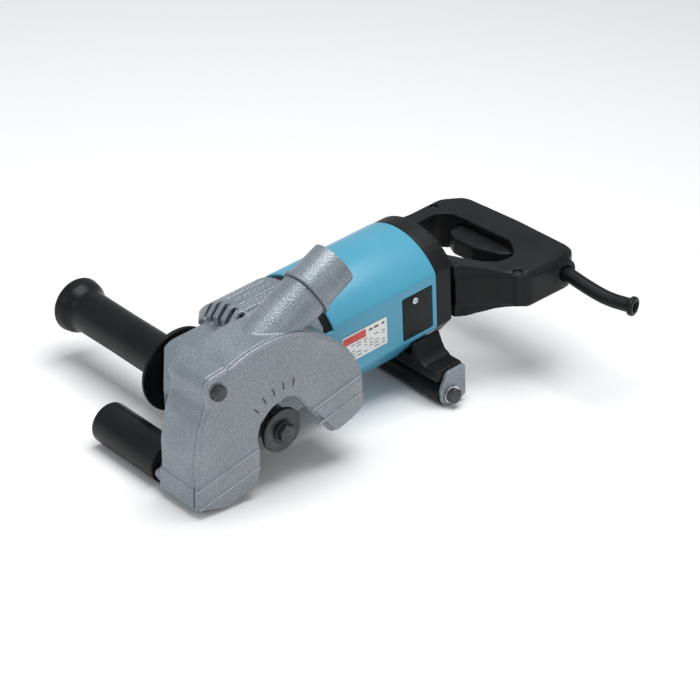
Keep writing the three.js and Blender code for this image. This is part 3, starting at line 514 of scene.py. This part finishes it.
def build_housing():
    """The barrel with a window for each brush cover, and the near side lapping forward."""
    outer = housing_section()
    steps = edge_steps(1.4, 4)
    levels = [(HOUSING_REAR + 0.3, HOUSING_WALL)]
    levels += [(HOUSING_REAR + rise, depth) for rise, depth in steps]
    levels += [(HOUSING_FRONT - rise, depth) for rise, depth in reversed(steps)]
    levels += [(HOUSING_FRONT - 0.3, HOUSING_WALL)]
    bm = bmesh.new()
    skins = [[(x, y, z) for y, z in inset(outer, depth)] for x, depth in levels]
    rear, *_, front = loft(bm, skins, cap=False)
    for i in range(len(rear)):
        j = (i + 1) % len(rear)
        bm.faces.new((front[i], front[j], rear[j], rear[i]))
    mesh = mesh_of("motor_housing", bm, MACHINE)
    cheek = rectangle(-112, -84.3, -22.9, 29.9, 1.5, right_radius=5)
    window = rectangle(-224.4, -186.6, -21.4, 24.4, 2)
    cover = rectangle(-223.3, -187.7, -20.3, 23.3, 1.5)
    mesh = combined(mesh, "UNION", plate("cheek", cheek, 48.4, 51.98, MACHINE, 0.7))
    mesh = combined(mesh, "DIFFERENCE", plate("window", window, -60, 60, MACHINE, 0.2))
    piece("motor_housing_finished", mesh, "motor_housing")
    for side, low, high in (("near", 49, 51.7), ("far", -51.7, -49)):
        node = f"brush_cover_{side}"
        piece(f"{node}_finished", plate(node, cover, low, high, MACHINE, 0.5), node)


# ---- label ----
BAR_ROWS = ((12.4, 2.4), (5.0, 1.0), (2.2, 0.8), (-1.4, 0.8), (-4.4, 0.8), (-8.0, 1.0))
BLOCK = [(-141, 7.5), (-113.4, 7.5), (-113.4, 15.6), (-141, 15.6)]


def build_label():
    """A printed sheet without lettering: a red block and rows (height, thickness) of bars."""
    sheet = rectangle(-166.6, -112.4, -11.6, 16.6, 1.2)
    piece("name_plate_sheet", plate("sheet", sheet, 52.3, 52.85, MACHINE, 0.15), "name_plate")
    added("name_plate_block", plate("block", BLOCK, 52.8, 52.93, MACHINE, 0.02), "machine_body",
          "label_sheet", LABEL_RED)
    bm = bmesh.new()
    for row, (height, thick) in enumerate(BAR_ROWS):
        low, high = height - thick / 2, height + thick / 2
        for k in range(7):
            left = -163.5 + 7.2 * k
            if row == 0 and left > -146 or (row + k) % 4 == 3:
                continue
            right = min(left + 3.4 + (row * 3 + k * 5) % 3, -114)
            bar = [(left, low), (right, low), (right, high), (left, high)]
            extruded(bm, bar, 52.8, 52.92)
    added("name_plate_bars", mesh_of("bars", bm, MACHINE), "machine_body", "label_sheet", LABEL_INK)


# ---- turned pieces ----
NOZZLE_RISE = math.radians(16.5)  # the nozzle's axis, above the guard's own level
NOZZLE_FOOT = (-68, 78, 95)
ROLLERS = {"front_roller": 19.5, "rear_roller": 12.5}  # node: radius
WASHERS = {"front_roller_washer": (5.3, 10), "rear_roller_washer": (4.3, 9)}  # node: hole, rim


def build_turned():
    def stand(node, profile, place=None):
        """Turns a profile (radius, height) into a node's piece, along y from the node's low end."""
        middle = middle_of(node)
        place = place or along(MACHINE, (0, 1, 0), (middle.x, depth_of(node)[0], middle.z))
        piece(f"{node}_finished", turned(node, profile, place), node)

    def thickness(node):
        low, high = depth_of(node)
        return high - low

    for node, radius in ROLLERS.items():
        width = thickness(node)
        stand(node, rounded([(0, 0), (radius, 0, 2.2), (radius, width, 1.2), (0, width)]))
    length = thickness("side_grip")
    stand("side_grip", rounded([
        (0, 0), (20.5, 0, 5), (27, 5.5, 4), (25.2, 15, 9), (20.3, 24, 16), (19.9, length * 0.5, 60),
        (20.3, length - 14, 30), (21.2, length, 1.2), (0, length),
    ], steps=10))
    thick = thickness("hand_guard_disc")
    stand("hand_guard_disc", rounded([
        (0, 0), (17, 0, 1), (19, 1.2, 2), (40.8, 1.6, 1.6), (40.8, thick, 1.6), (0, thick),
    ], steps=8))
    # The outer flange has a bevelled rim and a shallow recess under the bolt.
    low, high = depth_of("outer_flange")
    thick = high - low
    flange = rounded([
        (7.3, 0), (20.9, 0, 0.8), (20.9, thick, 1.2), (11.6, thick, 0.4), (11, thick - 0.6, 0.3),
        (7.3, thick - 0.6),
    ], steps=4)
    stand("outer_flange", flange, along(MACHINE, (0, 1, 0), (0, low, 0)))
    for node, (hole, rim) in WASHERS.items():
        thick = thickness(node)
        stand(node, rounded([(hole, 0), (rim, 0, 0.4), (rim, thick, 0.4), (hole, thick)], steps=3))
    # The dust nozzle stands on the guard's duct, with a bead round its foot.
    pipe = rounded([
        (19, 0.3), (25, 0.3, 1.6), (25, 3.6, 1.6), (22.2, 4.4, 1.5), (21.5, 38.4, 0.9),
        (19, 38.4, 0.9), (19, 10),
    ], steps=6)
    axis = (-math.cos(NOZZLE_RISE), 0, math.sin(NOZZLE_RISE))
    stand("dust_nozzle", pipe, along(GUARD, axis, NOZZLE_FOOT))


# ---- hexagon heads ----
HEX_STEPS = 48
GUARD_BOLT = (57, 87)  # x and z in the guard's own frame


def hex_head(bm, across, low, high, centre, chamfer=0.9):
    """A hexagon head along y with its top corners turned off."""
    half = across / 2
    corner = half / math.cos(math.pi / 6)
    top = half * 0.96

    def ring(at, limit):
        points = []
        for k in range(HEX_STEPS):
            turn = 2 * math.pi * k / HEX_STEPS
            flat = half / math.cos((turn + math.pi / 6) % (math.pi / 3) - math.pi / 6)
            radius = min(flat, limit)
            points.append((centre[0] + radius * math.cos(turn), at,
                           centre[1] + radius * math.sin(turn)))
        return points

    levels = [(low, corner)]
    for k in range(6):
        limit = corner + (top - corner) * k / 5
        levels.append((high - chamfer * (1 - k / 5) ** 1.2, limit))
    loft(bm, [ring(at, limit) for at, limit in levels])


def shanked_bolt(node, head, centre, place):
    """A bolt with a head from a given depth up, on a round shank that starts where the node does."""
    low, top = depth_of(node)
    bm = bmesh.new()
    hex_head(bm, 12.8, head, top - 0.02, centre)
    shank = [(centre[0] + a, centre[1] + b) for a, b in circle(0, 0, 4, 32)]
    extruded(bm, shank, low + 0.2, head + 0.2)
    piece(f"{node}_finished", mesh_of(node, bm, place), node)


def build_bolts():
    top = depth_of("flange_bolt")[1]
    bm = bmesh.new()
    hex_head(bm, 14.6, 103.4, top - 0.02, (0, 0), 1.1)
    collar = circle(0, 0, 9.4, 64)
    loft(bm, [[(a, at, b) for a, b in inset(collar, cut)]
              for at, cut in ((102.2, 0.3), (102.5, 0), (103.4, 0), (103.8, 0.5))])
    piece("flange_bolt_finished", mesh_of("flange_bolt", bm, MACHINE), "flange_bolt")
    shanked_bolt("guard_bolt", 106.3, GUARD_BOLT, GUARD)
    middle = middle_of("rear_roller_bolt")
    head = depth_of("rear_roller_bolt")[1] - 5.4
    shanked_bolt("rear_roller_bolt", head, (middle.x, middle.z), MACHINE)


# ---- marks and ribs on the guard cover ----
RIBS = {  # name: (left, right, level, outer face)
    "front_1": (30.5, 99.5, 3.6, 107.9),
    "front_2": (34, 102.5, -14, 108.7),
    "rear_1": (-86.5, -30, 3.6, 107.9),
    "rear_2": (-83.5, -33, -14, 108.7),
}


def build_marks():
    """Five short raised bars on an arc round the spindle."""
    bm = bmesh.new()
    for i in range(5):
        turn = math.radians(30 - 13 * i)
        bar = [(-0.7, 45), (0.7, 45), (0.7, 52), (-0.7, 52)]
        turned_bar = [
            (a * math.cos(turn) + b * math.sin(turn), -a * math.sin(turn) + b * math.cos(turn))
            for a, b in bar
        ]
        extruded(bm, turned_bar, COVER_FACE - 0.2, COVER_FACE + 1.3)
    added("guard_cover_marks", mesh_of("marks", bm, GUARD), "wheel_guard", "dark_steel")


def build_ribs():
    """Two raised ribs across each foot of the guard cover."""
    for name, (left, right, level, face) in RIBS.items():
        bar = rectangle(left, right, level - 0.9, level + 0.9, 0.7, steps=3)
        added(f"guard_rib_{name}", plate("rib", bar, COVER_FACE, face, GUARD, 0.7), "wheel_guard",
              "grey_face")


build_camera()
build_studio()
for name, node in NODES.items():
    node.data.materials.clear()
    node.data.materials.append(LOOKS[SLOT_OF[name]])
build_castings()
build_housing()
build_label()
build_turned()
build_bolts()
build_marks()
build_ribs()
for name in ("handle_screw_1", "handle_screw_2"):
    NODES[name].data.materials[0] = LOOKS["dark_steel"]  # painted dark to stand for the shade in their recessed holes, unlike the other screws
